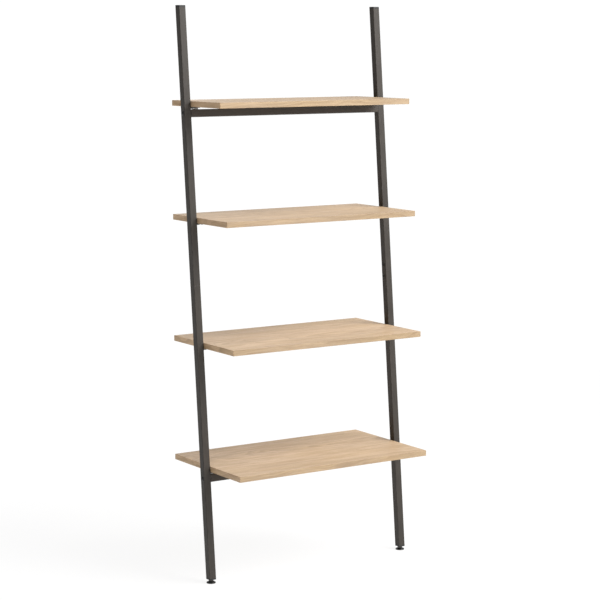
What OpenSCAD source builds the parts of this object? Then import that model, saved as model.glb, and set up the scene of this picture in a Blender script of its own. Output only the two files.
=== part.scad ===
// Leaning ladder shelf: four oak boards of decreasing depth between two
// square-tube posts that lean back towards the wall. Each post is two tubes
// on an inner sleeve, two crossbars tie the posts together, and every board
// rests on a pair of small steel tabs. The origin is on the floor, in the
// middle of the footprint: +X right, +Y towards the wall, +Z up.

/* [Boards] */
// Clear width between the posts, which is also the length of the crossbars
clear_w = 600; // [420:10:900]
// Gap between a board's end and the post beside it
end_gap = 0.5; // [0:0.1:3]
// Thickness of the boards
board_t = 15; // [12:1:22]
// Depth of the bottom board
depth_1 = 340; // [300:5:400]
// Depth of the second board
depth_2 = 310; // [260:5:380]
// Depth of the third board
depth_3 = 280; // [230:5:360]
// Depth of the top board
depth_4 = 250; // [200:5:340]
// Height of the bottom board's top face
top_1 = 311; // [250:1:400]
// Height of the second board's top face
top_2 = 638; // [560:1:700]
// Height of the third board's top face
top_3 = 967; // [880:1:1040]
// Height of the top board's top face
top_4 = 1271; // [1200:1:1340]
// Thickness of the edging glued round each board
edging_t = 1; // [0.5:0.1:2]

/* [Posts] */
// Lean of the posts from the vertical, in degrees
lean = 5.3; // [4:0.1:6.5]
// Distance from the wall to the post's centre line at floor level
post_set = 208; // [195:1:230]
// Outside width of the square tube
post_size = 20; // [20:1:25]
// Wall of the square tube
post_wall = 1.5; // [1:0.25:2]
// Outside corner radius of the square tube
post_r = 1.6; // [1:0.1:3]
// Overall height, floor to the top of the caps
total_h = 1520; // [1420:5:1600]
// Height of the butt joint between the lower and the upper tube
joint_z = 788; // [700:1:860]
// Length of the sleeve inside that joint
sleeve_len = 90; // [60:5:120]
// Distance of each sleeve screw from the joint
sleeve_screw = 15.8; // [12:0.1:22]
// Height of the caps on the posts
cap_h = 5; // [3:0.5:8]

/* [Crossbars] */
// Gap between a board's underside and the upper front edge of its crossbar
bar_gap = 6.3; // [5.6:0.1:9]
// Diameter of the crossbar bolts
bolt_d = 6; // [5:0.5:8]
// Diameter of the bolt heads
bolt_head_d = 12.5; // [11:0.5:14]
// Height of the bolt heads
bolt_head_h = 3.2; // [2:0.2:4]

/* [Board tabs] */
// Length of a tab along its board
tab_len = 30; // [26:1:45]
// Thickness of a tab
tab_t = 3; // [2:0.5:3]

/* [Feet] */
// Height of the underside of the posts above the floor
foot_gap = 10; // [9.5:0.5:14]
// Diameter of the foot pad
pad_d = 25; // [22:0.5:32]
// Diameter of the foot's neck
neck_d = 13.5; // [11:0.5:13.5]
// Diameter of the threaded stud
stud_d = 8; // [6:1:8]

/* [Wall brackets] */
// Distance between the two wall brackets
bracket_span = 460; // [200:10:540]
// Length of both legs of a wall bracket
bracket_leg = 28; // [24:1:40]
// Diameter of the wall screw's hole
wall_hole_d = 5.2; // [4:0.2:6]

/* [Hidden] */
$fn = 64;
oak = [0.80, 0.66, 0.50];
oak_dark = [0.62, 0.47, 0.33];
graphite = [0.22, 0.21, 0.20];
black = [0.07, 0.07, 0.07];
zinc = [0.62, 0.62, 0.60];

// Boards, bottom to top
depths = [depth_1, depth_2, depth_3, depth_4];
tops = [top_1, top_2, top_3, top_4];
wall_y = depth_1 / 2;
board_w = clear_w - 2 * end_gap;

// Posts
post_y0 = wall_y - post_set;
post_x = (clear_w + post_size) / 2;
bore_size = post_size - 2 * post_wall;
plug_size = bore_size - 0.2;
slack = 60;
joint_gap = 0.3;
head_z = foot_gap + 3.5;
cap_z = total_h - cap_h;
cap_plug = 14;
cap_wall = 2;

// Sleeve in the post joint and its screws
sleeve_wall = 3;
sleeve_d = 6;
sleeve_head_d = 11.5;
sleeve_head_h = 2.8;
sleeve_shank = 8;

// Crossbars: bar_drop is the centre's distance below the board's underside
bar_drop = bar_gap + post_size / 2 * (cos(lean) + sin(lean));
bar_zs = [top_1 - board_t - bar_drop, top_4 - board_t - bar_drop];
bar_plug = 25;
bolt_clear = 0.25;
bolt_len = post_size + 22;

// Tabs and their screws
tab_screw_d = 4;
tab_screw_head_d = 8;
tab_screw_head_h = 2.2;
tab_screw_len = 10;
tab_screws_at = [9, 21];
pilot = 0.05;

// Feet: the neck slides in a counterbore at the end of the post
pad_h = 5;
pad_rim = 3;
socket_floor = 1.5;
spigot_d = 8;
fit_gap = 0.05;
face_gap = 0.3;
neck_len = 10.5;
neck_clear = 0.4;
neck_top = pad_h + face_gap + neck_len;
counter_z = neck_top + 5.4;
insert_top = counter_z + 19;
stud_top = insert_top + 6;
foot_y = post_y0 + (foot_gap + counter_z) / 2 * tan(lean);

// Wall brackets
bracket_w = 18;
bracket_t = 2;
bracket_z = top_4 - board_t;
wall_hole_z = bracket_z - bracket_leg * 0.6;
bracket_screw_d = 3.5;
bracket_screw_head_d = 7;
bracket_screw_head_h = 2;
bracket_screw_len = 9;
bracket_screws_at = [10, 21];

// ---------------------------------------------------------------- helpers

// Centre line of the posts at height z
function post_y(z) = post_y0 + z * tan(lean);

// Square with rounded corners, centred
module round_square(size, r) {
    square([size - 2 * r, size], center = true);
    square([size, size - 2 * r], center = true);
    for (i = [-1, 1], j = [-1, 1])
        translate([i * (size / 2 - r), j * (size / 2 - r)])
            circle(r);
}

// Section of the posts and the crossbars
module tube_section() {
    difference() {
        round_square(post_size, post_r);
        square(bore_size, center = true);
    }
}

// Stands the children on the post's centre line at height z, leaning with it
module on_post(side, z) {
    translate([side * post_x, post_y(z), z])
        rotate([-lean, 0, 0])
            children();
}

// Level slab round the post on that side, from z_lo to z_hi
module level_slab(side, z_lo, z_hi) {
    translate([side * post_x - slack, post_y0 - 2 * slack, z_lo])
        cube([2 * slack, 2 * slack + wall_y - post_y0, z_hi - z_lo]);
}

// Stretch of a leaning bar of the child section, with level ends
module leaning_stretch(side, z_lo, z_hi) {
    intersection() {
        on_post(side, z_lo - slack)
            linear_extrude(z_hi - z_lo + 2 * slack)
                children();
        level_slab(side, z_lo, z_hi);
    }
}

// Turns the children so that +Z points along X towards the outside of that side
module outward(side) {
    rotate([0, side * 90, 0])
        children();
}

// Low domed head with a hexagon socket, its flat underside at z = 0
module button_head(d, h, socket) {
    r = (d * d / 4 + h * h) / (2 * h);
    difference() {
        intersection() {
            translate([0, 0, h - r])
                sphere(r);
            cylinder(d = d + 1, h = h + 1);
        }
        translate([0, 0, h * 0.35])
            cylinder(d = socket, h = h, $fn = 6);
    }
}

// Countersunk-free wood screw standing up from its pan head, underside of head at z = 0
module wood_screw(d, len, head_d, head_h) {
    translate([0, 0, -head_h])
        difference() {
            union() {
                cylinder(d = head_d * 0.72, h = head_h);
                translate([0, 0, head_h * 0.4])
                    cylinder(d = head_d, h = head_h * 0.6);
            }
            for (a = [0, 90])
                rotate([0, 0, a])
                    cube([head_d * 0.5, head_d * 0.12, head_h], center = true);
        }
    cylinder(d = d, h = len);
}

// Puts the children at each tab screw of one tab, on the board's underside
module at_tab_screws(k, side) {
    z = tops[k] - board_t;
    for (at = tab_screws_at)
        translate([side * (clear_w / 2 - at), post_y(z), z])
            children();
}

// Puts the children at each screw of one wall bracket, on the board's underside
module at_bracket_screws(side) {
    for (at = bracket_screws_at)
        translate([side * bracket_span / 2, wall_y - at, bracket_z])
            children();
}

// ---------------------------------------------------------------- boards

module board_core(k) {
    color(oak)
        difference() {
            translate([-board_w / 2 + edging_t, wall_y - depths[k] + edging_t, tops[k] - board_t])
                cube([board_w - 2 * edging_t, depths[k] - 2 * edging_t, board_t]);
            for (side = [-1, 1])
                at_tab_screws(k, side)
                    translate([0, 0, -1])
                        cylinder(d = tab_screw_d + 2 * pilot, h = tab_screw_len - tab_t + 2);
            if (k == len(tops) - 1)
                for (side = [-1, 1])
                    at_bracket_screws(side)
                        translate([0, 0, -1])
                            cylinder(d = bracket_screw_d + 2 * pilot, h = bracket_screw_len - bracket_t + 2);
        }
}

module board_edging(k) {
    color(oak_dark)
        translate([0, wall_y - depths[k] / 2, tops[k] - board_t])
            linear_extrude(board_t)
                difference() {
                    square([board_w, depths[k]], center = true);
                    square([board_w - 2 * edging_t, depths[k] - 2 * edging_t], center = true);
                }
}

// ---------------------------------------------------------------- posts

module bolt_hole(side, z) {
    on_post(side, z)
        outward(side)
            cylinder(d = bolt_d + 2 * bolt_clear, h = post_size + 2, center = true);
}

module sleeve_screw_hole(side, at, d) {
    on_post(side, joint_z)
        translate([0, 0, at])
            outward(-side)
                cylinder(d = d, h = post_size);
}

module post_lower(side) {
    length = (joint_z - head_z) / cos(lean) + slack;
    color(graphite)
        difference() {
            intersection() {
                on_post(side, joint_z)
                    translate([0, 0, -joint_gap / 2 - length])
                        linear_extrude(length)
                            tube_section();
                level_slab(side, head_z, joint_z + slack);
            }
            bolt_hole(side, bar_zs[0]);
            sleeve_screw_hole(side, -sleeve_screw, sleeve_d + 2 * bolt_clear);
        }
}

module post_upper(side) {
    length = (cap_z - joint_z) / cos(lean) + slack;
    color(graphite)
        difference() {
            intersection() {
                on_post(side, joint_z)
                    translate([0, 0, joint_gap / 2])
                        linear_extrude(length)
                            tube_section();
                level_slab(side, joint_z - slack, cap_z);
            }
            bolt_hole(side, bar_zs[1]);
            sleeve_screw_hole(side, sleeve_screw, sleeve_d + 2 * bolt_clear);
        }
}

module post_sleeve(side) {
    color(zinc)
        difference() {
            on_post(side, joint_z)
                linear_extrude(sleeve_len, center = true)
                    difference() {
                        square(plug_size, center = true);
                        square(plug_size - 2 * sleeve_wall, center = true);
                    }
            for (at = [-sleeve_screw, sleeve_screw])
                sleeve_screw_hole(side, at, sleeve_d + 2 * pilot);
        }
}

module sleeve_screws() {
    color(black)
        for (side = [-1, 1], at = [-sleeve_screw, sleeve_screw])
            on_post(side, joint_z)
                translate([-side * post_size / 2, 0, at])
                    outward(-side) {
                        button_head(sleeve_head_d, sleeve_head_h, 4.6);
                        translate([0, 0, -sleeve_shank])
                            cylinder(d = sleeve_d, h = sleeve_shank);
                    }
}

module post_cap(side) {
    color(black) {
        leaning_stretch(side, cap_z, total_h)
            round_square(post_size, post_r);
        leaning_stretch(side, cap_z - cap_plug, cap_z)
            difference() {
                square(plug_size, center = true);
                square(plug_size - 2 * cap_wall, center = true);
            }
    }
}

// ---------------------------------------------------------------- feet

module foot_insert(side) {
    color(black)
        difference() {
            union() {
                leaning_stretch(side, foot_gap, head_z)
                    round_square(post_size, post_r);
                leaning_stretch(side, head_z, insert_top)
                    square(plug_size, center = true);
            }
            translate([side * post_x, foot_y, foot_gap - 1])
                cylinder(d = neck_d + 2 * neck_clear, h = counter_z - foot_gap + 1);
            translate([side * post_x, foot_y, foot_gap])
                cylinder(d = stud_d + 2 * fit_gap, h = insert_top);
        }
}

module foot_stem(side) {
    color(black)
        translate([side * post_x, foot_y, 0]) {
            translate([0, 0, socket_floor + face_gap])
                cylinder(d = spigot_d, h = pad_h - socket_floor);
            translate([0, 0, pad_h + face_gap])
                cylinder(d = neck_d, h = neck_len);
            translate([0, 0, neck_top - 1])
                cylinder(d = stud_d, h = stud_top - neck_top + 1);
        }
}

module foot_pad(side) {
    color(black)
        translate([side * post_x, foot_y, 0])
            rotate_extrude()
                polygon([
                    [0, 0], [pad_d / 2 - 0.4, 0], [pad_d / 2, 0.4], [pad_d / 2, pad_rim],
                    [neck_d / 2 + 1, pad_h], [spigot_d / 2 + fit_gap, pad_h],
                    [spigot_d / 2 + fit_gap, socket_floor], [0, socket_floor]
                ]);
}

// ---------------------------------------------------------------- crossbars

// Stands the children on a crossbar's centre line at its end on that side
module at_bar_end(bar, side) {
    translate([side * clear_w / 2, post_y(bar_zs[bar]), bar_zs[bar]])
        rotate([-lean, 0, 0])
            outward(side)
                children();
}

module crossbar(bar) {
    color(graphite)
        at_bar_end(bar, 1)
            translate([0, 0, -clear_w])
                linear_extrude(clear_w)
                    tube_section();
}

module crossbar_plug(bar, side) {
    color(zinc)
        at_bar_end(bar, side)
            translate([0, 0, -bar_plug])
                linear_extrude(bar_plug)
                    difference() {
                        square(plug_size, center = true);
                        circle(d = bolt_d + 2 * pilot);
                    }
}

module crossbar_bolts() {
    color(black)
        for (bar = [0, 1], side = [-1, 1])
            at_bar_end(bar, side)
                translate([0, 0, post_size]) {
                    button_head(bolt_head_d, bolt_head_h, 4.6);
                    translate([0, 0, -bolt_len])
                        cylinder(d = bolt_d, h = bolt_len);
                }
}

// ---------------------------------------------------------------- tabs

module tab(k, side) {
    z = tops[k] - board_t - tab_t;
    color(graphite)
        difference() {
            translate([side * (clear_w - tab_len) / 2, post_y(z + tab_t), z + tab_t / 2])
                cube([tab_len, post_size, tab_t], center = true);
            at_tab_screws(k, side)
                translate([0, 0, -tab_t - 1])
                    cylinder(d = tab_screw_d + 0.5, h = tab_t + 2);
        }
}

module tab_screws() {
    color(zinc)
        for (k = [0 : len(tops) - 1], side = [-1, 1])
            at_tab_screws(k, side)
                translate([0, 0, -tab_t])
                    wood_screw(tab_screw_d, tab_screw_len, tab_screw_head_d, tab_screw_head_h);
}

// ---------------------------------------------------------------- wall brackets

module wall_bracket(side) {
    color(zinc)
        difference() {
            translate([side * bracket_span / 2 - bracket_w / 2, wall_y - bracket_leg, bracket_z - bracket_leg])
                difference() {
                    cube([bracket_w, bracket_leg, bracket_leg]);
                    translate([-1, -bracket_t, -bracket_t])
                        cube([bracket_w + 2, bracket_leg, bracket_leg]);
                }
            at_bracket_screws(side)
                translate([0, 0, -bracket_t - 1])
                    cylinder(d = bracket_screw_d + 0.5, h = bracket_t + 2);
            translate([side * bracket_span / 2, wall_y, wall_hole_z])
                rotate([90, 0, 0])
                    cylinder(d = wall_hole_d, h = 4 * bracket_t, center = true);
        }
}

module wall_bracket_screws() {
    color(zinc)
        for (side = [-1, 1])
            at_bracket_screws(side)
                translate([0, 0, -bracket_t])
                    wood_screw(bracket_screw_d, bracket_screw_len, bracket_screw_head_d, bracket_screw_head_h);
}

// ---------------------------------------------------------------- nodes

board_core(0);  // board_1_core
board_edging(0);  // board_1_edging
board_core(1);  // board_2_core
board_edging(1);  // board_2_edging
board_core(2);  // board_3_core
board_edging(2);  // board_3_edging
board_core(3);  // board_4_core
board_edging(3);  // board_4_edging
post_lower(-1);  // post_lower_left
post_lower(1);  // post_lower_right
post_upper(-1);  // post_upper_left
post_upper(1);  // post_upper_right
post_sleeve(-1);  // post_sleeve_left
post_sleeve(1);  // post_sleeve_right
sleeve_screws();
post_cap(-1);  // post_cap_left
post_cap(1);  // post_cap_right
foot_insert(-1);  // foot_insert_left
foot_insert(1);  // foot_insert_right
foot_stem(-1);  // foot_stem_left
foot_stem(1);  // foot_stem_right
foot_pad(-1);  // foot_pad_left
foot_pad(1);  // foot_pad_right
crossbar(0);  // crossbar_bottom
crossbar(1);  // crossbar_top
crossbar_plug(0, -1);  // crossbar_plug_bottom_left
crossbar_plug(0, 1);  // crossbar_plug_bottom_right
crossbar_plug(1, -1);  // crossbar_plug_top_left
crossbar_plug(1, 1);  // crossbar_plug_top_right
crossbar_bolts();
tab(0, -1);  // tab_1_left
tab(0, 1);  // tab_1_right
tab(1, -1);  // tab_2_left
tab(1, 1);  // tab_2_right
tab(2, -1);  // tab_3_left
tab(2, 1);  // tab_3_right
tab(3, -1);  // tab_4_left
tab(3, 1);  // tab_4_right
tab_screws();
wall_bracket(-1);  // wall_bracket_left
wall_bracket(1);  // wall_bracket_right
wall_bracket_screws();
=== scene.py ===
import math
import random

import bmesh
import bpy
from mathutils import Matrix, Vector


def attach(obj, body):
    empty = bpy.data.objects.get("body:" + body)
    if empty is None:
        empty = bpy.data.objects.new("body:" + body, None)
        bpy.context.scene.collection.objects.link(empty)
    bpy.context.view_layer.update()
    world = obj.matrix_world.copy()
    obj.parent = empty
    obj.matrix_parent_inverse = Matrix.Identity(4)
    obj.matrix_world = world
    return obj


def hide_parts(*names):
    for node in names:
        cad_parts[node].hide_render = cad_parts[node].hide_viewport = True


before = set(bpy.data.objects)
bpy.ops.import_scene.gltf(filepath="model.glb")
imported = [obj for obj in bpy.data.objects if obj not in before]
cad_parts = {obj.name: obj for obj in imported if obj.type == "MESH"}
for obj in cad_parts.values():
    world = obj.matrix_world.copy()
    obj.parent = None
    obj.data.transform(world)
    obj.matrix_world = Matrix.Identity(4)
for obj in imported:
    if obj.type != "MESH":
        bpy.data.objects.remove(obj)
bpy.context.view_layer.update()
scene = bpy.context.scene
random.seed(11)

# ------------------------------------------------------------------ sizes, as in the part's source

MM = 0.001
SIDES = ((-1, "left"), (1, "right"))
LEAN = math.radians(5.3)
SIN, COS, TAN = math.sin(LEAN), math.cos(LEAN), math.tan(LEAN)
POST_AXIS = Vector((0, SIN, COS))
WALL_Y = 170.0

CLEAR, POST, POST_R = 600.0, 20.0, 1.6
BORE, BORE_R, PLUG_SIDE = 17.0, 0.5, 16.7
POST_X, POST_Y0 = (CLEAR + POST) / 2, -38.0
HEAD_Z, JOINT_Z, CAP_Z, TOTAL_H = 13.5, 788.0, 1515.0, 1520.0
JOINT_SCREW_OFF = 15.8

BOARD_W, BOARD_T, EDGING = 599.0, 15.0, 1.0
TOPS = (311.0, 638.0, 967.0, 1271.0)
DEPTHS = (340.0, 310.0, 280.0, 250.0)

BAR_GAP = 6.3
BAR_DROP = BAR_GAP + POST / 2 * (COS + SIN)
BAR_ZS = (TOPS[0] - BOARD_T - BAR_DROP, TOPS[3] - BOARD_T - BAR_DROP)

TAB_LEN, TAB_T, TAB_R = 30.0, 3.0, 5.0
TAB_SCREWS_AT = (9.0, 21.0)

INSERT_Z, COUNTER_Z, INSERT_TOP = 10.0, 21.2, 40.2
NECK_TOP, STUD_TOP, STUD_R = 15.8, 46.2, 4.0
THREAD_PITCH, THREAD_ROOT_R = 1.25, 3.35
FOOT_Y = POST_Y0 + (INSERT_Z + COUNTER_Z) / 2 * TAN

SPAN, LEG, BRACKET_W, BRACKET_T, BRACKET_R, BEND_R = 460.0, 28.0, 18.0, 2.0, 4.0, 2.5
BRACKET_Z = TOPS[3] - BOARD_T
BRACKET_SCREWS_AT = (10.0, 21.0)
WALL_HOLE_DROP, WALL_HOLE_R, SCREW_HOLE_R = LEG * 0.6, 2.6, 2.0


def post_y(z):
    """The y of the posts' centre line at height z."""
    return POST_Y0 + z * TAN


# ------------------------------------------------------------------ node graphs


def feed(tree, socket, value):
    """Links an input to another node's output, or sets it. A colour comes without its alpha."""
    if isinstance(value, bpy.types.NodeSocket):
        tree.links.new(value, socket)
    elif socket.type == "RGBA":
        socket.default_value = (*value, 1.0)
    else:
        socket.default_value = value


def put(tree, node, inputs):
    """Feeds the inputs of a node, by name or by number."""
    for key, value in inputs.items():
        feed(tree, node.inputs[key], value)


def add(tree, kind, inputs=None, **settings):
    node = tree.nodes.new(kind)
    for key, value in settings.items():
        setattr(node, key, value)
    put(tree, node, inputs or {})
    return node


def new_material(name):
    mat = bpy.data.materials.new(name)
    mat.use_nodes = True
    tree = mat.node_tree
    tree.nodes.clear()
    shader = add(tree, "ShaderNodeBsdfPrincipled")
    add(tree, "ShaderNodeOutputMaterial", {"Surface": shader.outputs["BSDF"]})
    return mat, tree, shader


def object_coords(tree):
    return add(tree, "ShaderNodeTexCoord").outputs["Object"]


def mapped(tree, vector, location=(0, 0, 0), rotation=(0, 0, 0), scale=(1, 1, 1)):
    node = add(tree, "ShaderNodeMapping", {
        "Vector": vector, "Location": location, "Rotation": rotation, "Scale": scale})
    return node.outputs["Vector"]


def noise(tree, vector, scale=1.0, detail=2.0, roughness=0.5):
    node = add(tree, "ShaderNodeTexNoise", {
        "Vector": vector, "Scale": scale, "Detail": detail, "Roughness": roughness})
    return node.outputs["Fac"]


def spread(tree, value, lo, hi, to_lo=0.0, to_hi=1.0):
    """Maps lo..hi onto to_lo..to_hi, clamped, with smooth ends."""
    node = add(tree, "ShaderNodeMapRange", {
        "Value": value, "From Min": lo, "From Max": hi, "To Min": to_lo, "To Max": to_hi},
        interpolation_type="SMOOTHSTEP")
    return node.outputs["Result"]


def maths(tree, operation, a, b):
    return add(tree, "ShaderNodeMath", {0: a, 1: b}, operation=operation).outputs["Value"]


def times(tree, a, b):
    return maths(tree, "MULTIPLY", a, b)


def vector_sum(tree, a, b):
    return add(tree, "ShaderNodeVectorMath", {0: a, 1: b}, operation="ADD").outputs["Vector"]


def mixed(tree, factor, a, b, blend="MIX"):
    """Mixes two colours, each an (r, g, b) or a socket."""
    # a Mix node's colour inputs are numbers 6 and 7, and its colour output is number 2
    node = add(tree, "ShaderNodeMix", data_type="RGBA", blend_type=blend)
    put(tree, node, {0: factor, 6: a, 7: b})
    return node.outputs[2]


def bumped(tree, height, strength, distance):
    node = add(tree, "ShaderNodeBump", {
        "Height": height, "Strength": strength, "Distance": distance})
    return node.outputs["Normal"]


def arris(tree):
    """1 on the narrow rounded faces along an edge, 0 elsewhere."""
    return add(tree, "ShaderNodeAttribute", attribute_name="arris").outputs["Fac"]


def tinted(colour, factor, plus=0.0):
    """The colour times factor, plus a little white, held below the brightest a real surface gets."""
    return tuple(min(channel * factor + plus, 0.9) for channel in colour)


# ------------------------------------------------------------------ oak


def figure(tree, wood, along, across, detail, roughness=0.5, shift=0.0):
    """Noise drawn out along the grain: its scale along the grain, and across it."""
    stretched = mapped(tree, wood, location=(shift, shift, shift), scale=(along, across, across))
    return noise(tree, stretched, detail=detail, roughness=roughness)


def growth_rings(tree, wood, heart):
    """Rings round a trunk that was sawn at a slight angle, so that they come out as long arches."""
    trunk = mapped(tree, wood, location=(0, -heart[0], -heart[1]), rotation=(0, 0.085, 0.03))
    node = add(tree, "ShaderNodeTexWave", {
        "Vector": mapped(tree, trunk, scale=(0.07, 1, 1)), "Scale": 46.0, "Distortion": 2.6,
        "Detail": 3.0, "Detail Scale": 0.5, "Detail Roughness": 0.6},
        wave_type="RINGS", rings_direction="X", wave_profile="SAW")
    return node.outputs["Fac"]


def oak(name, place, heart, painted_shade=1.0, along_y=False,
        light=(0.68, 0.505, 0.336), mid=(0.48, 0.333, 0.205), dark=(0.27, 0.165, 0.09)):
    """Light oak with its grain along X, or along Y.

    place shifts the figure, so that no two boards match. heart is where the trunk's middle lay, in
    metres: across the grain, and up.
    """
    mat, tree, shader = new_material(name)
    turned = mapped(tree, object_coords(tree), rotation=(0, 0, math.pi / 2 if along_y else 0))
    wood = mapped(tree, turned, location=place)
    wander = figure(tree, wood, 3.5, 9, 3, 0.55)
    sway = times(tree, maths(tree, "SUBTRACT", wander, 0.5), 0.045)
    bend = add(tree, "ShaderNodeCombineXYZ", {"Y": sway, "Z": sway}).outputs["Vector"]
    wood = vector_sum(tree, wood, bend)
    rings = growth_rings(tree, vector_sum(tree, turned, bend), heart)
    broad = figure(tree, wood, 3, 13, 3, 0.55)
    warm = figure(tree, wood, 4.5, 22, 3, 0.6, shift=5)
    streak = figure(tree, wood, 6.5, 95, 6, 0.68)
    fibre = figure(tree, wood, 20, 620, 4, 0.65)
    pore = figure(tree, wood, 38, 1300, 2)
    pores = times(tree, spread(tree, pore, 0.58, 0.68), spread(tree, rings, 0.3, 0.9, 0.35, 1.0))

    colour = mixed(tree, spread(tree, streak, 0.28, 0.72), light, mid)
    colour = mixed(tree, spread(tree, warm, 0.35, 0.68, 0.0, 0.38), colour, (0.60, 0.42, 0.22))
    ring_depth = spread(tree, warm, 0.25, 0.75, 0.14, 0.40)
    colour = mixed(tree, times(tree, spread(tree, rings, 0.25, 1.0), ring_depth), colour, dark)
    colour = mixed(tree, spread(tree, fibre, 0.45, 0.75, 0.0, 0.20), colour, dark)
    colour = mixed(tree, spread(tree, fibre, 0.25, 0.42, 0.16, 0.0), colour, (0.74, 0.58, 0.41))
    colour = mixed(tree, times(tree, pores, 0.45), colour, dark)
    # painted shade: the board's factor darkens all of its colour, to offset the stronger lamp light on the
    # higher boards
    shade = spread(tree, broad, 0.25, 0.75, 0.91 * painted_shade, 1.08 * painted_shade)
    grey = add(tree, "ShaderNodeCombineColor", {"Red": shade, "Green": shade, "Blue": shade})
    colour = mixed(tree, 1.0, colour, grey.outputs["Color"], "MULTIPLY")
    # painted highlight: here and there the arrises are made paler, for the light their rounding catches
    arris_wear_and_highlight = times(tree, arris(tree), spread(tree, noise(tree, wood, 60, 3), 0.40, 0.65))
    colour = mixed(tree, times(tree, arris_wear_and_highlight, 0.30), colour, (0.62, 0.47, 0.33))

    rough = maths(tree, "ADD", spread(tree, streak, 0.3, 0.7, 0.46, 0.56), times(tree, pores, 0.15))
    height = maths(tree, "SUBTRACT", times(tree, fibre, 0.5), pores)
    put(tree, shader, {
        "Base Color": colour, "Roughness": rough, "Specular IOR Level": 0.42,
        "Normal": bumped(tree, height, 0.30, 0.00015)})
    return mat


# ------------------------------------------------------------------ coated steel, plastic and plating


def powder_coat(name, along, base):
    """Fine-textured satin powder coat on steel, rubbed a little thin along its edges.

    along stretches the marks that run down the tube: the small scale is on the tube's own axis.
    """
    mat, tree, shader = new_material(name)
    co = object_coords(tree)
    down_tube = mapped(tree, co, scale=along)
    cloud = noise(tree, co, 22, 3)
    grain = noise(tree, co, 1900, 2, 0.6)
    peel = noise(tree, co, 750, 2)
    drawn = noise(tree, down_tube, 1.6, 4, 0.6)
    scuffs = spread(tree, noise(tree, down_tube, 1, 4, 0.7), 0.62, 0.74)
    worn = times(tree, arris(tree), spread(tree, noise(tree, co, 48, 5, 0.7), 0.46, 0.66))

    colour = mixed(tree, spread(tree, cloud, 0.3, 0.7), tinted(base, 0.90), tinted(base, 1.12))
    colour = mixed(tree, times(tree, spread(tree, grain, 0.5, 0.8), 0.35), colour, tinted(base, 2.0))
    colour = mixed(tree, times(tree, worn, 0.40), colour, (0.11, 0.102, 0.095))
    colour = mixed(tree, spread(tree, drawn, 0.30, 0.70, 0.0, 0.26), colour, tinted(base, 1.75))
    colour = mixed(tree, times(tree, scuffs, 0.18), colour, (0.10, 0.094, 0.088))

    rough = maths(tree, "ADD", spread(tree, cloud, 0.25, 0.75, 0.43, 0.55), times(tree, worn, -0.10))
    height = maths(tree, "ADD", peel, times(tree, grain, 0.5))
    put(tree, shader, {
        "Base Color": colour, "Roughness": rough, "Specular IOR Level": 0.29,
        "Normal": bumped(tree, height, 0.22, 0.00012)})
    return mat


def plastic(name, base, rough_lo, rough_hi, bump):
    """Moulded plastic with a spark-eroded grain and pale scuffs on its edges."""
    mat, tree, shader = new_material(name)
    co = object_coords(tree)
    cloud = noise(tree, co, 120, 3)
    scuff = times(tree, arris(tree), spread(tree, noise(tree, co, 420, 4, 0.7), 0.50, 0.70))
    colour = mixed(tree, spread(tree, cloud, 0.3, 0.7), base, tinted(base, 1.5))
    colour = mixed(tree, times(tree, scuff, 0.5), colour, (0.09, 0.088, 0.085))
    rough = spread(tree, cloud, 0.3, 0.7, rough_lo, rough_hi)
    rough = maths(tree, "ADD", rough, times(tree, scuff, 0.15))
    put(tree, shader, {
        "Base Color": colour, "Roughness": rough,
        "Normal": bumped(tree, noise(tree, co, 3200, 2), bump, 0.00008)})
    return mat


def plated(name, base, metallic, rough_lo, rough_hi):
    """Plated or blackened steel: cloudy film, fine scratches, brighter where it is rubbed."""
    mat, tree, shader = new_material(name)
    co = object_coords(tree)
    cloud = noise(tree, co, 160, 4, 0.6)
    slanted = mapped(tree, co, rotation=(0.3, 0.5, 0.7), scale=(3000, 220, 900))
    arris_wear_and_highlight = times(tree, arris(tree), spread(tree, cloud, 0.35, 0.65))
    colour = mixed(tree, spread(tree, cloud, 0.3, 0.7), tinted(base, 0.82), tinted(base, 1.12))
    colour = mixed(tree, times(tree, arris_wear_and_highlight, 0.4), colour, tinted(base, 1.8, 0.05))
    put(tree, shader, {
        "Base Color": colour, "Metallic": metallic,
        "Roughness": spread(tree, cloud, 0.25, 0.75, rough_lo, rough_hi),
        "Normal": bumped(tree, noise(tree, slanted, 1, 3), 0.15, 0.00005)})
    return mat


post_coat = powder_coat("graphite_coat", (300, 300, 9), (0.0340, 0.0286, 0.0238))
# painted light: the crossbars get a lighter, warmer copy of the posts' coat, to lift the shade the boards
# above cast on them
beam_coat = powder_coat("graphite_coat_across", (9, 300, 300), (0.0415, 0.0335, 0.0270))
black = plastic("black_moulding", (0.010, 0.0098, 0.0095), 0.55, 0.68, 0.25)
foot_black = plastic("foot_moulding", (0.008, 0.008, 0.008), 0.14, 0.22, 0.06)
stem_grey = plastic("stem_moulding", (0.034, 0.030, 0.026), 0.40, 0.52, 0.12)
oxide = plated("black_oxide", (0.016, 0.0155, 0.015), 0.20, 0.40, 0.52)
zinc = plated("zinc_plate", (0.50, 0.50, 0.49), 1.0, 0.30, 0.46)

# ------------------------------------------------------------------ sections

# the square and the round sections have the same number of points, in step round them, so that
# any two of them can be joined
ARC_STEPS, FLAT_POINTS = 5, 6
AROUND = 4 * (ARC_STEPS + 1 + FLAT_POINTS)


def arc(cx, cy, r, start, steps):
    """Points on a quarter of a circle, anticlockwise from the start angle in degrees."""
    angles = [math.radians(start + 90 * i / steps) for i in range(steps + 1)]
    return [(cx + r * math.cos(a), cy + r * math.sin(a)) for a in angles]


def rounded_square(half, r):
    """Section points, anticlockwise: each corner's arc, then points along the flat after it."""
    c = half - r
    corners = [arc(cx, cy, r, 90 * i, ARC_STEPS)
               for i, (cx, cy) in enumerate(((c, c), (-c, c), (-c, -c), (c, -c)))]
    points = []
    for i, corner in enumerate(corners):
        points += corner
        (x0, y0), (x1, y1) = corner[-1], corners[(i + 1) % 4][0]
        for j in range(1, FLAT_POINTS + 1):
            t = j / (FLAT_POINTS + 1)
            points.append((x0 + (x1 - x0) * t, y0 + (y1 - y0) * t))
    return points


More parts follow.
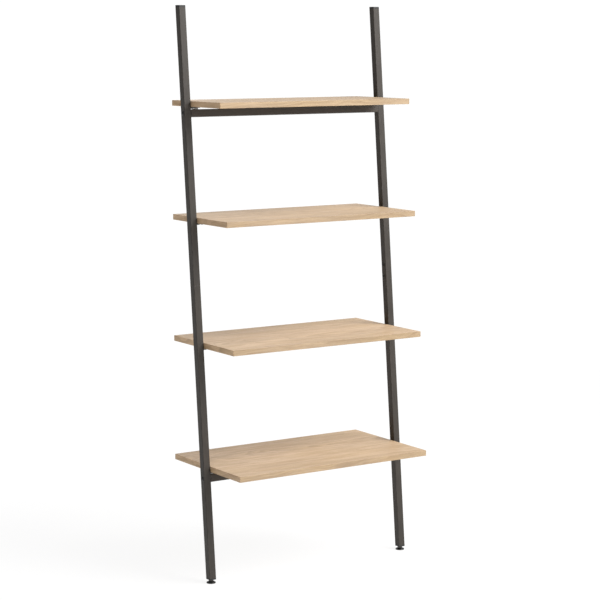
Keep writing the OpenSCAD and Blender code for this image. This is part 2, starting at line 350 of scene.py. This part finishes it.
def circle(r, shape=None):
    """Points round a circle, in step with rounded_square's. shape(angle) scales the radius."""
    step = 360 / AROUND
    points = []
    for i in range(AROUND):
        a = math.radians(45 + (i - ARC_STEPS / 2) * step)
        k = shape(a) if shape else 1.0
        points.append((r * k * math.cos(a), r * k * math.sin(a)))
    return points


# the stem's collar is this much wider than the hexagon below it
BLUNTED = 1.0714


def hexagon(a):
    """Radius of a hexagon of inscribed radius 1."""
    return 1 / math.cos((a % (math.pi / 3)) - math.pi / 6)


def blunt_hexagon(a):
    """The same, with its corners turned down to a circle of radius BLUNTED."""
    return min(hexagon(a), BLUNTED)


def cross(a):
    """Radius of a rounded cross of arm length 1."""
    b = abs(((a + math.pi / 4) % (math.pi / 2)) - math.pi / 4)
    return 1.0 if b < 0.15 else max(0.42, 1.0 - (b - 0.15) * 1.6)


def box_section(u0, u1, v0, v1, r, steps=1):
    """Rectangle with its corners rounded by r."""
    return (arc(u1 - r, v1 - r, r, 0, steps) + arc(u0 + r, v1 - r, r, 90, steps)
            + arc(u0 + r, v0 + r, r, 180, steps) + arc(u1 - r, v0 + r, r, 270, steps))


def inset(points, d):
    """The same anticlockwise section with every side moved inwards by d."""
    if not d:
        return points
    count, out = len(points), []
    for i, p in enumerate(points):
        a, b = Vector(points[i - 1]), Vector(points[(i + 1) % count])
        p = Vector(p)
        n1, n2 = (p - a).normalized(), (b - p).normalized()
        n1, n2 = Vector((-n1.y, n1.x)), Vector((-n2.y, n2.x))
        n = n1 + n2
        out.append(tuple(p + n * (d / max(0.3, n.dot(n1)))))
    return out


SECTION = rounded_square(POST / 2, POST_R)
INSIDE = rounded_square(BORE / 2, BORE_R)
PLUG = rounded_square(PLUG_SIDE / 2, BORE_R)

# ------------------------------------------------------------------ meshes


def loft(bm, rings, closed=False):
    """Quads between rings of equally many points, and n-gons over the two ends unless the rings close up."""
    made = [[bm.verts.new(p) for p in ring] for ring in rings]
    pairs = list(zip(made, made[1:]))
    if closed:
        pairs.append((made[-1], made[0]))
    for a, b in pairs:
        for i in range(len(a)):
            j = (i + 1) % len(a)
            bm.faces.new((a[i], a[j], b[j], b[i]))
    if not closed:
        bm.faces.new(made[0])
        bm.faces.new(made[-1])


def bar(bm, section, t0, t1, cut, place, steps=1):
    """A straight bar of that section from t0 to t1. Its ends are chamfered by cut, or rounded in steps."""
    angles = [math.pi / 2 * i / steps for i in range(steps + 1)]
    near = [(t0 + cut * (1 - math.cos(a)), cut * (1 - math.sin(a))) for a in angles]
    far = [(t1 + t0 - t, d) for t, d in reversed(near)]
    loft(bm, [[place(u, v, t) for u, v in inset(section, d)] for t, d in near + far])


# a face lies on a convex edge if it meets a neighbour at more than this
BENT_BY = math.radians(4)


def piece(name, bm, materials, nodes, body="frame", smooth_below=32, arris_width=0.75):
    """Makes the mesh object and hands it to the frame.

    Edges that bend by less than smooth_below degrees are shaded smooth. Faces that are narrower than
    arris_width and lie on a convex edge are marked as arrises.
    """
    bmesh.ops.recalc_face_normals(bm, faces=bm.faces)
    if bm.calc_volume(signed=True) < 0:
        bmesh.ops.reverse_faces(bm, faces=bm.faces)
    for e in bm.edges:
        e.smooth = len(e.link_faces) == 2 and e.calc_face_angle() < math.radians(smooth_below)
    narrow = []
    for f in bm.faces:
        f.smooth = True
        width = f.calc_area() / max(e.calc_length() for e in f.edges)
        bent = any(len(e.link_faces) == 2 and e.calc_face_angle_signed() > BENT_BY for e in f.edges)
        narrow.append(1.0 if width < arris_width and bent else 0.0)
    for v in bm.verts:
        v.co *= MM
    mesh = bpy.data.meshes.new(name)
    bm.to_mesh(mesh)
    bm.free()
    mesh.attributes.new("arris", "FLOAT", "FACE").data.foreach_set("value", narrow)
    for material in materials:
        mesh.materials.append(material)
    obj = bpy.data.objects.new(name, mesh)
    scene.collection.objects.link(obj)
    weighted = obj.modifiers.new("even_shading", "WEIGHTED_NORMAL")
    weighted.keep_sharp = True
    weighted.weight = 90
    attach(obj, body)
    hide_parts(*nodes)


# ------------------------------------------------------------------ boards

# where each board lies in the wood's figure, where the trunk's heart lay under it, and how far its faces
# and its front lip are darkened: painted shade, most on the higher boards, which the lamps light more
FIGURE_AT = ((0.31, 0.12, 0.0), (1.73, 0.64, 0.21), (2.91, 1.37, 0.47), (4.22, 1.93, 0.83))
HEART_AT = ((0.045, -0.085), (-0.06, -0.11), (0.015, -0.07), (-0.02, -0.10))
FACE_PAINTED_SHADE = (0.905, 0.875, 0.86, 0.76)
LIP_PAINTED_SHADE = (0.90, 0.88, 0.87, 0.84)
# the strips' rounded corners and the fine cut at their seam, then the gap and the cut where the
# strips along X end, and the rounding where the end strips do
OUTER_R, SEAM_CUT = 0.5, 0.12
STRIP_GAP, STRIP_CUT, END_ROUND = 0.02, 0.06, 0.3


def board_woods(k):
    """The board's three materials: its faces, its strips along X, and its end strips along Y."""
    top, place = TOPS[k] * MM, FIGURE_AT[k]
    front, middle = (WALL_Y - DEPTHS[k]) * MM, (WALL_Y - DEPTHS[k] / 2) * MM
    heart = (middle + HEART_AT[k][0], top + HEART_AT[k][1])
    face = oak(f"oak_face_{k + 1}", place, heart, FACE_PAINTED_SHADE[k])
    # painted light and shade: the lip gets darker colours than the faces, since the lamps light the fronts
    # more than the tops, and the end strips get lighter ones, since the left ends lie in shade
    lip = oak(f"oak_lip_{k + 1}", tuple(p + 0.37 for p in place), (front - 0.03, top - 0.05),
              LIP_PAINTED_SHADE[k], light=(0.465, 0.34, 0.218), mid=(0.315, 0.222, 0.137))
    end = oak(f"oak_end_{k + 1}", tuple(p + 0.71 for p in place), (0.26, top - 0.06),
              along_y=True, light=(0.75, 0.522, 0.322), mid=(0.49, 0.325, 0.19))
    return face, lip, end


def strip_section(u0, u1, v0, v1, low_side_out):
    """Edging strip: its two outer corners rounded, the two against the panel finely cut."""
    points = []
    for u, v, start in ((u1, v1, 0), (u0, v1, 90), (u0, v0, 180), (u1, v0, 270)):
        r = OUTER_R if (u == u0) == low_side_out else SEAM_CUT
        cu, cv = (u - r if u == u1 else u + r), (v - r if v == v1 else v + r)
        points += arc(cu, cv, r, start, 4)
    return points


def board(k):
    front, half = WALL_Y - DEPTHS[k], BOARD_W / 2
    z0, z1 = TOPS[k] - BOARD_T, TOPS[k]
    face, lip, end = board_woods(k)
    panel = bmesh.new()
    bar(panel, box_section(front + EDGING, WALL_Y - EDGING, z0, z1, SEAM_CUT),
        -half + EDGING, half - EDGING, SEAM_CUT, lambda u, v, t: (t, u, v))
    piece(f"panel_{k + 1}", panel, [face], [f"board_{k + 1}_core"])
    strips = bmesh.new()
    for u in (front, WALL_Y - EDGING):
        section = strip_section(u, u + EDGING, z0, z1, u == front)
        bar(strips, section, -half + EDGING + STRIP_GAP, half - EDGING - STRIP_GAP, STRIP_CUT,
            lambda u, v, t: (t, u, v))
    along_x = len(strips.faces)
    for u in (-half, half - EDGING):
        section = strip_section(u, u + EDGING, z0, z1, u < 0)
        bar(strips, section, front, WALL_Y, END_ROUND, lambda u, v, t: (u, t, v), steps=2)
    strips.faces.ensure_lookup_table()
    for f in strips.faces[along_x:]:
        f.material_index = 1
    piece(f"edging_strips_{k + 1}", strips, [lip, end], [f"board_{k + 1}_edging"])


for k in range(4):
    board(k)

# ------------------------------------------------------------------ posts and caps

# the saw cut's arris, half of the dark line left at the joint, and the cap's rounding
CUT_ARRIS, HALF_JOINT, CAP_ROUND = 0.25, 0.08, 1.2
# how far the cap's plug reaches down the tube, where its end starts to taper and by how much
CAP_PLUG, CAP_TAPER_AT, CAP_TAPER = 14.0, 12.5, 0.6
# the seam between the tube and the cap, and the chamfer above it
CAP_SEAM, CAP_CHAMFER = 0.05, 0.35


def level(side, section, z, d=0.0):
    """The post's section cut level at height z."""
    y = post_y(z)
    return [(side * POST_X + u, y + v / COS, z) for u, v in inset(section, d)]


def square_cut(side, section, s):
    """The post's section cut square, at distance s along the post from the joint."""
    y = post_y(JOINT_Z)
    return [(side * POST_X + u, y + v * COS + s * SIN, JOINT_Z - v * SIN + s * COS) for u, v in section]


for side, hand in SIDES:
    lower = bmesh.new()
    loft(lower, [
        level(side, INSIDE, HEAD_Z), level(side, SECTION, HEAD_Z, CUT_ARRIS),
        level(side, SECTION, HEAD_Z + CUT_ARRIS), square_cut(side, SECTION, -HALF_JOINT),
        square_cut(side, INSIDE, -HALF_JOINT)], closed=True)
    piece(f"tube_lower_{hand}", lower, [post_coat], [f"post_lower_{hand}"])
    upper = bmesh.new()
    loft(upper, [
        square_cut(side, INSIDE, HALF_JOINT), square_cut(side, SECTION, HALF_JOINT),
        level(side, SECTION, CAP_Z - CUT_ARRIS), level(side, SECTION, CAP_Z, CUT_ARRIS),
        level(side, INSIDE, CAP_Z)], closed=True)
    piece(f"tube_upper_{hand}", upper, [post_coat], [f"post_upper_{hand}"])
    cap = bmesh.new()
    rings = [level(side, PLUG, CAP_Z - CAP_PLUG, CAP_TAPER), level(side, PLUG, CAP_Z - CAP_TAPER_AT),
             level(side, PLUG, CAP_Z + CAP_SEAM), level(side, SECTION, CAP_Z + CAP_SEAM, CAP_CHAMFER),
             level(side, SECTION, CAP_Z + CAP_CHAMFER)]
    for i in range(6):
        a = math.pi / 2 * i / 5
        rings.append(level(side, SECTION, TOTAL_H - CAP_ROUND + CAP_ROUND * math.sin(a),
                           CAP_ROUND * (1 - math.cos(a))))
    # a smaller ring keeps the n-gon over the top clear of the rounding
    rings.append([(side * POST_X + u * 0.4, post_y(TOTAL_H) + v * 0.4, TOTAL_H) for u, v in SECTION])
    loft(cap, rings)
    piece(f"end_cap_{hand}", cap, [black], [f"post_cap_{hand}"])

# ------------------------------------------------------------------ feet

# (radius, height) down the insert's bore, which widens for the stem's collar
INSERT_BORE = (
    (4.05, INSERT_TOP), (4.05, COUNTER_Z), (7.15, COUNTER_Z), (7.15, INSERT_Z + 0.4),
    (7.35, INSERT_Z + 0.1), (7.6, INSERT_Z))
# (height, inset) up the insert's square head, and the taper at the top of its plug
INSERT_HEAD = ((0.0, 0.7), (0.2, 0.2), (0.7, 0.0), (3.2, 0.0), (3.45, 0.3))
PLUG_TAPER_LEN, PLUG_TAPER = 0.6, 0.5
# (radius, height) up the stem's pin, its hexagon and its collar, and from where the thread starts
STEM_PIN = ((3.6, 1.8), (STUD_R, 2.3), (STUD_R, 5.3), (5.9, 5.3))
STEM_HEXAGON = ((6.2, 5.5), (6.3, 5.9), (6.3, 12.6))
STEM_COLLAR = ((6.35, 12.9), (6.6, 13.1), (6.75, 13.4), (6.75, 15.3), (6.45, NECK_TOP), (3.2, NECK_TOP))
THREAD_Z = 15.0
# (radius, height) from the pad's socket over its top and down its rim
PAD_OUTSIDE = (
    (0.8, 1.5), (4.05, 1.5), (4.05, 4.6), (4.4, 5.0), (7.2, 5.0), (7.9, 4.85), (9.2, 4.35), (10.6, 3.75),
    (11.3, 3.35), (11.85, 2.85), (12.2, 2.35), (12.42, 1.8), (12.5, 1.2), (12.5, 0.7), (12.4, 0.3),
    (12.1, 0.05), (11.8, 0.0))
# and back under its sole, with two shallow grooves
PAD_SOLE = (
    (10.8, 0.0), (10.6, 0.35), (9.8, 0.35), (9.6, 0.0), (7.6, 0.0), (7.4, 0.35), (6.6, 0.35),
    (6.4, 0.0), (0.8, 0.0))


def turned(side, profile, shape=None):
    """Level rings on the foot's axis, one for each (radius, height)."""
    return [[(side * POST_X + u, FOOT_Y + v, z) for u, v in circle(r, shape)] for r, z in profile]


def thread(bm, x, y, z0, z1, around=32, steps=6):
    """A right-hand thread: each level ring swells where the helix's blunt ridge crosses it."""
    rings = []
    rows = int((z1 - z0) / THREAD_PITCH * steps)
    for row in range(rows + 1):
        z, ring = z0 + (z1 - z0) * row / rows, []
        fade = min(1.0, (z1 - z) / THREAD_PITCH, (z - z0) / THREAD_PITCH + 0.3)
        for i in range(around):
            a = 2 * math.pi * i / around
            phase = (z / THREAD_PITCH - i / around) % 1.0
            ridge = max(0.0, 1.0 - abs(phase - 0.5) / 0.42)
            r = THREAD_ROOT_R + (STUD_R - THREAD_ROOT_R) * min(1.0, ridge * 1.15) * fade
            ring.append((x + r * math.cos(a), y + r * math.sin(a), z))
        rings.append(ring)
    loft(bm, rings)


for side, hand in SIDES:
    insert = bmesh.new()
    head = [level(side, SECTION, INSERT_Z + z, d) for z, d in INSERT_HEAD]
    plug = [level(side, PLUG, INSERT_Z + INSERT_HEAD[-1][0]), level(side, PLUG, INSERT_TOP - PLUG_TAPER_LEN),
            level(side, PLUG, INSERT_TOP, PLUG_TAPER)]
    loft(insert, turned(side, INSERT_BORE) + head + plug, closed=True)
    piece(f"insert_{hand}", insert, [black], [f"foot_insert_{hand}"])
    stem = bmesh.new()
    loft(stem, turned(side, STEM_PIN) + turned(side, STEM_HEXAGON, blunt_hexagon) + turned(side, STEM_COLLAR))
    thread(stem, side * POST_X, FOOT_Y, THREAD_Z, STUD_TOP)
    piece(f"threaded_stem_{hand}", stem, [stem_grey], [f"foot_stem_{hand}"],
          f"foot_{hand}_stud", smooth_below=40)
    pad = bmesh.new()
    loft(pad, turned(side, PAD_OUTSIDE + PAD_SOLE))
    piece(f"foot_disc_{hand}", pad, [foot_black], [f"foot_pad_{hand}"], f"foot_{hand}")

# ------------------------------------------------------------------ crossbars


def bar_point(zc, u, v, t):
    """Point on a crossbar: t along X, u towards the wall across the bar, v up across it."""
    return (t, post_y(zc) + u * COS + v * SIN, zc - u * SIN + v * COS)


for zc, which in zip(BAR_ZS, ("bottom", "top")):
    beam = bmesh.new()
    end = CLEAR / 2
    stations = ((INSIDE, -end, 0.0), (SECTION, -end, CUT_ARRIS), (SECTION, -end + CUT_ARRIS, 0.0),
                (SECTION, end - CUT_ARRIS, 0.0), (SECTION, end, CUT_ARRIS), (INSIDE, end, 0.0))
    loft(beam, [[bar_point(zc, u, v, t) for u, v in inset(s, d)] for s, t, d in stations], closed=True)
    piece(f"beam_{which}", beam, [beam_coat], [f"crossbar_{which}"])

# ------------------------------------------------------------------ bolts and joint screws

RECESS_R, RECESS_RIM, BUTTON_SHANK_R = 2.05, 2.85, 3.0
# diameter and height of the head, depth of the recess, length of the shank
BOLT = (12.5, 3.2, 1.9, 41.5)
JOINT_SCREW = (11.5, 2.8, 1.7, 7.8)


def frame_at(origin, z_axis, x_axis):
    z, x = Vector(z_axis).normalized(), Vector(x_axis).normalized()
    m = Matrix((x, z.cross(x), z)).transposed().to_4x4()
    m.translation = Vector(origin)
    return m


def screw_solid(bm, to_world, head, recess, shank_r, shank_len, tip=0.0):
    """A screw standing on its bearing face: the head's profile above it, the shank below.

    recess is its (radius, shape of its walls, height of its rim, depth). tip is the point's length.
    """
    def ring(z, r, shape=None):
        return [to_world @ Vector((u, v, z)) for u, v in circle(r, shape)]

    r, walls, rim, depth = recess
    rings = [ring(-shank_len, 0.15)] if tip else []
    rings += [ring(-shank_len + tip, shank_r * 0.9), ring(-shank_len + tip + 0.3, shank_r)]
    rings.append(ring(0.0, shank_r))
    rings += [ring(z, head_r) for head_r, z in head]
    # the recess has a chamfered rim, walls that close in a little, and a coned floor
    rings += [ring(rim, r * 1.10, walls), ring(rim - 0.15, r, walls), ring(rim - depth, r * 0.96, walls),
              ring(rim - depth - 0.3, r * 0.35)]
    loft(bm, rings)


def dome(d, h, steps=7):
    """Profile of a low domed head from its bearing face to where the recess begins."""
    r, rise = d / 2, h - 0.3
    big = (r * r + rise * rise) / (2 * rise)
    points = [(r - 0.25, 0.0), (r - 0.05, 0.1), (r, 0.35)]
    for i in range(1, steps + 1):
        q = r + (RECESS_RIM - r) * i / steps
        points.append((q, h - big + math.sqrt(big * big - q * q)))
    return points


def button_screw(bm, at, outwards, d, h, depth, shank_len):
    """A button-head screw along X, its hexagonal recess turned to any angle."""
    turn = Matrix.Rotation(random.uniform(0, 1.0), 3, Vector((1, 0, 0))) @ POST_AXIS
    head = dome(d, h)
    recess = (RECESS_R, hexagon, head[-1][1] + 0.1, depth)
    screw_solid(bm, frame_at(at, (outwards, 0, 0), turn), head, recess, BUTTON_SHANK_R, shank_len)


bolts, joint_screws = bmesh.new(), bmesh.new()
for zc in BAR_ZS:
    for side in (-1, 1):
        button_screw(bolts, (side * (POST_X + POST / 2), post_y(zc), zc), side, *BOLT)
for s in (-JOINT_SCREW_OFF, JOINT_SCREW_OFF):
    for side in (-1, 1):
        at = (side * (POST_X - POST / 2), post_y(JOINT_Z) + s * SIN, JOINT_Z + s * COS)
        button_screw(joint_screws, at, -side, *JOINT_SCREW)
piece("button_bolts", bolts, [oxide], ["crossbar_bolts"])
piece("joint_screws", joint_screws, [oxide], ["sleeve_screws"])

# ------------------------------------------------------------------ tabs, welded to the posts

WELD_LEN, WELD_LEG, WELD_RIPPLE = 17.0, 2.6, 1.5
# (height above the tab's underside, inset): its arrises are broken at the bottom and the top
TAB_RINGS = ((0.0, 0.5), (0.15, 0.15), (0.5, 0.0))


def tab_plan(side, y):
    """Plan of a tab, square at the post and round at its free end, anticlockwise."""
    near, low, high = CLEAR / 2, y - POST / 2, y + POST / 2
    end = TAB_LEN - TAB_R
    plan = ([(0.0, low)] + arc(end, low + TAB_R, TAB_R, -90, 6) + arc(end, high - TAB_R, TAB_R, 0, 6)
            + [(0.0, high)])
    plan = [(side * (near - t), v) for t, v in plan]
    return plan[::-1] if side > 0 else plan


def weld(bm, side, y, z0):
    """Fillet weld under a tab, against the post's inner face: a rippled bead with tapered ends."""
    rings, rows = [], 48
    for i in range(rows + 1):
        t = i / rows
        to_end = min(t, 1 - t)
        swell = min(1.0, (math.sin(math.pi * to_end * 5) if to_end < 0.1 else 1.0) + 0.25)
        leg = WELD_LEG * swell * (1 + 0.05 * math.sin(2 * math.pi * t * WELD_LEN / WELD_RIPPLE))
        v = y - WELD_LEN / 2 + WELD_LEN * t
        ring = [(side * (CLEAR / 2 + 0.2), v, z0 + 0.2)]
        for j in range(7):
            a = math.pi / 2 * j / 6
            r = leg * (0.80 + 0.20 * abs(math.cos(2 * a)))
            ring.append((side * (CLEAR / 2 - r * math.cos(a)), v, z0 - r * math.sin(a)))
        rings.append(ring)
    loft(bm, rings)


for k in range(4):
    z1 = TOPS[k] - BOARD_T
    z0 = z1 - TAB_T
    for side, hand in SIDES:
        tab = bmesh.new()
        plan = tab_plan(side, post_y(z1))
        stations = [(z0 + h, d) for h, d in TAB_RINGS] + [(z1 - h, d) for h, d in reversed(TAB_RINGS)]
        loft(tab, [[(x, y, z) for x, y in inset(plan, d)] for z, d in stations])
        weld(tab, side, post_y(z1), z0)
        piece(f"support_tab_{k + 1}_{hand}", tab, [post_coat], [f"tab_{k + 1}_{hand}"])

# ------------------------------------------------------------------ wood screws

# (radius, height) up a pan head, the tab screws' own size
PAN_HEAD = ((3.9, 0.0), (4.0, 0.15), (4.0, 0.7), (3.85, 1.2), (3.5, 1.7), (3.0, 2.05), (2.4, 2.2))
# share of the pan head's radius and of its height, the recess as screw_solid takes it, the shank's
# radius and length, and the point's length
TAB_SCREW = (1.0, 1.0, (2.1, cross, 2.15, 1.3), 1.95, 9.9, 3.0)
BRACKET_SCREW = (0.875, 0.9, (1.8, cross, 1.93, 1.1), 1.7, 8.9, 2.6)


def wood_screw(bm, x, y, z, wide, high, recess, shank_r, shank_len, tip):
    """A pan-head screw up into a board, its cross recess turned to any angle."""
    a = random.uniform(0, math.pi / 2)
    head = [(r * wide, h * high) for r, h in PAN_HEAD]
    here = frame_at((x, y, z), (0, 0, -1), (math.cos(a), math.sin(a), 0))
    screw_solid(bm, here, head, recess, shank_r, shank_len, tip)


tab_screws = bmesh.new()
for k in range(4):
    z = TOPS[k] - BOARD_T - TAB_T
    for side in (-1, 1):
        for at in TAB_SCREWS_AT:
            wood_screw(tab_screws, side * (CLEAR / 2 - at), post_y(z + TAB_T), z, *TAB_SCREW)
piece("pan_screws", tab_screws, [zinc], ["tab_screws"])

# ------------------------------------------------------------------ wall brackets

# the sheet's centre line: a straight leg, the bend's quarter circle, and the other leg
STRAIGHT, BEND = LEG - BRACKET_T / 2 - BEND_R, BEND_R * math.pi / 2
WALL_HOLE_AT = STRAIGHT + BEND + WALL_HOLE_DROP - BRACKET_T / 2 - BEND_R
BEND_CUTS = 8


def bend_path(s):
    """Centre line of the bracket's sheet: s along it from the end of the top leg. Returns (y, z, angle)."""
    y, z = WALL_Y - LEG, BRACKET_Z - BRACKET_T / 2
    if s <= STRAIGHT:
        return y + s, z, 0.0
    if s <= STRAIGHT + BEND:
        a = (s - STRAIGHT) / BEND_R
        return y + STRAIGHT + BEND_R * math.sin(a), z - BEND_R * (1 - math.cos(a)), a
    return y + STRAIGHT + BEND_R, z - BEND_R - (s - STRAIGHT - BEND), math.pi / 2


def hole(at, r, count=24):
    angles = [2 * math.pi * i / count for i in range(count)]
    return [(at + r * math.cos(a), r * math.sin(a)) for a in angles]


def plate_with_holes(outline, holes, t):
    """Flat plate from -t/2 to t/2 with drilled holes, its two flat sides filled with triangles."""
    bm = bmesh.new()
    for loop in [outline] + holes:
        verts = [bm.verts.new((u, v, -t / 2)) for u, v in loop]
        for i, v in enumerate(verts):
            bm.edges.new((v, verts[(i + 1) % len(verts)]))
    bmesh.ops.triangle_fill(bm, edges=bm.edges[:], use_beauty=True)
    made = bmesh.ops.extrude_face_region(bm, geom=bm.faces[:])
    for g in made["geom"]:
        if isinstance(g, bmesh.types.BMVert):
            g.co.z = t / 2
    return bm


def bracket_sheet(cx):
    """The bracket at x = cx: a drilled flat plate, cut across where it bends, then laid along its path."""
    outline = box_section(0, 2 * STRAIGHT + BEND, -BRACKET_W / 2, BRACKET_W / 2, BRACKET_R, 6)
    holes = [hole(LEG - at, SCREW_HOLE_R) for at in reversed(BRACKET_SCREWS_AT)]
    sheet = plate_with_holes(outline, holes + [hole(WALL_HOLE_AT, WALL_HOLE_R, 32)], BRACKET_T)
    for i in range(BEND_CUTS + 1):
        bmesh.ops.bisect_plane(sheet, geom=sheet.verts[:] + sheet.edges[:] + sheet.faces[:],
                               plane_co=(STRAIGHT + BEND * i / BEND_CUTS, 0, 0), plane_no=(1, 0, 0))
    for v in sheet.verts:
        y, z, a = bend_path(v.co.x)
        off = v.co.z
        v.co = Vector((cx + v.co.y, y + off * math.sin(a), z + off * math.cos(a)))
    return sheet


bracket_screws = bmesh.new()
for side, hand in SIDES:
    cx = side * SPAN / 2
    # its flat triangles are narrow without being arrises, so none is marked
    piece(f"angle_bracket_{hand}", bracket_sheet(cx), [zinc], [f"wall_bracket_{hand}"],
          smooth_below=25, arris_width=0.0)
    for at in BRACKET_SCREWS_AT:
        wood_screw(bracket_screws, cx, WALL_Y - at, BRACKET_Z - BRACKET_T, *BRACKET_SCREW)
piece("bracket_pan_screws", bracket_screws, [zinc], ["wall_bracket_screws"])

# ------------------------------------------------------------------ hidden steel keeps its CAD shape

for name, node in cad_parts.items():
    if name.startswith("post_sleeve") or name.startswith("crossbar_plug"):
        node.data.materials.clear()
        node.data.materials.append(zinc)

# ------------------------------------------------------------------ floor and room, in metres

# Near the shelf the lamps give a part of the floor's brightness. Further out all of it is the
# floor's own even white, so it meets the backdrop without an edge from any side.
FLOOR_HALF, LIT_RADIUS, FADED_RADIUS, OWN_WHITE_NEAR = 40.0, 1.2, 4.0, 0.82
BACKDROP, WHITE = 1.04, (1, 1, 1)
floor_mesh = bpy.data.meshes.new("floor")
corners = [(x * FLOOR_HALF, y * FLOOR_HALF, 0) for x, y in ((-1, -1), (1, -1), (1, 1), (-1, 1))]
floor_mesh.from_pydata(corners, [], [(0, 1, 2, 3)])
floor = bpy.data.objects.new("floor", floor_mesh)
scene.collection.objects.link(floor)
floor_mat, tree, shader = new_material("pale_floor")
put(tree, shader, {"Base Color": (0.86, 0.86, 0.86), "Roughness": 0.9, "Specular IOR Level": 0.1})
radius = add(tree, "ShaderNodeVectorMath", {0: object_coords(tree)}, operation="LENGTH").outputs["Value"]
glow = add(tree, "ShaderNodeEmission", {"Color": WHITE, "Strength": BACKDROP})
blend = add(tree, "ShaderNodeMixShader", {
    "Fac": spread(tree, radius, LIT_RADIUS, FADED_RADIUS, OWN_WHITE_NEAR, 1.0),
    1: shader.outputs["BSDF"], 2: glow.outputs["Emission"]})
out = next(n for n in tree.nodes if n.type == "OUTPUT_MATERIAL")
feed(tree, out.inputs["Surface"], blend.outputs["Shader"])
floor_mesh.materials.append(floor_mat)

# the room is seen as an even white, and lights the shelf less from the left than from the right
world = bpy.data.worlds.new("studio")
scene.world = world
world.use_nodes = True
tree = world.node_tree
tree.nodes.clear()
seen = add(tree, "ShaderNodeBackground", {"Color": WHITE, "Strength": BACKDROP})
direction = add(tree, "ShaderNodeTexCoord").outputs["Generated"]
toward = add(tree, "ShaderNodeVectorMath", {0: direction, 1: (0.95, -0.3, 0.0)}, operation="DOT_PRODUCT")
lit = add(tree, "ShaderNodeBackground", {
    "Color": WHITE, "Strength": spread(tree, toward.outputs["Value"], -1.0, 1.0, 0.10, 0.94)})
pick = add(tree, "ShaderNodeMixShader", {
    "Fac": add(tree, "ShaderNodeLightPath").outputs["Is Camera Ray"],
    1: lit.outputs["Background"], 2: seen.outputs["Background"]})
add(tree, "ShaderNodeOutputWorld", {"Surface": pick.outputs["Shader"]})

# ------------------------------------------------------------------ lamps and camera


def lamp(name, azimuth, elevation, power, size, distance=4.0):
    """A round lamp aimed at the shelf's middle. Azimuth 0 is in front of it, 90 to its right."""
    a, e = math.radians(azimuth), math.radians(elevation)
    back = Vector((math.sin(a) * math.cos(e), -math.cos(a) * math.cos(e), math.sin(e)))
    data = bpy.data.lights.new(name, "AREA")
    data.energy = power
    data.shape = "DISK"
    data.size = size
    obj = bpy.data.objects.new(name, data)
    obj.location = Vector((0, 0, TOTAL_H / 2 * MM)) + back * distance
    obj.rotation_mode = "QUATERNION"
    obj.rotation_quaternion = (-back).to_track_quat("-Z", "Y")
    scene.collection.objects.link(obj)


lamp("key", 38, 42, 212, 3.0)
lamp("fill", 12, 6, 30, 2.4)
lamp("rim", 172, 34, 36, 2.4)

camera_data = bpy.data.cameras.new("camera")
camera_data.sensor_width = 36.0
camera_data.lens = 116.20
camera = bpy.data.objects.new("camera", camera_data)
scene.collection.objects.link(camera)
camera.location = (-2.848, -4.348, 1.445)
yaw, pitch = math.radians(33.19), math.radians(7.82)
look = Vector((math.sin(yaw) * math.cos(pitch), math.cos(yaw) * math.cos(pitch), -math.sin(pitch)))
camera.rotation_mode = "QUATERNION"
camera.rotation_quaternion = look.to_track_quat("-Z", "Y")
scene.camera = camera
scene.view_settings.view_transform = "Standard"
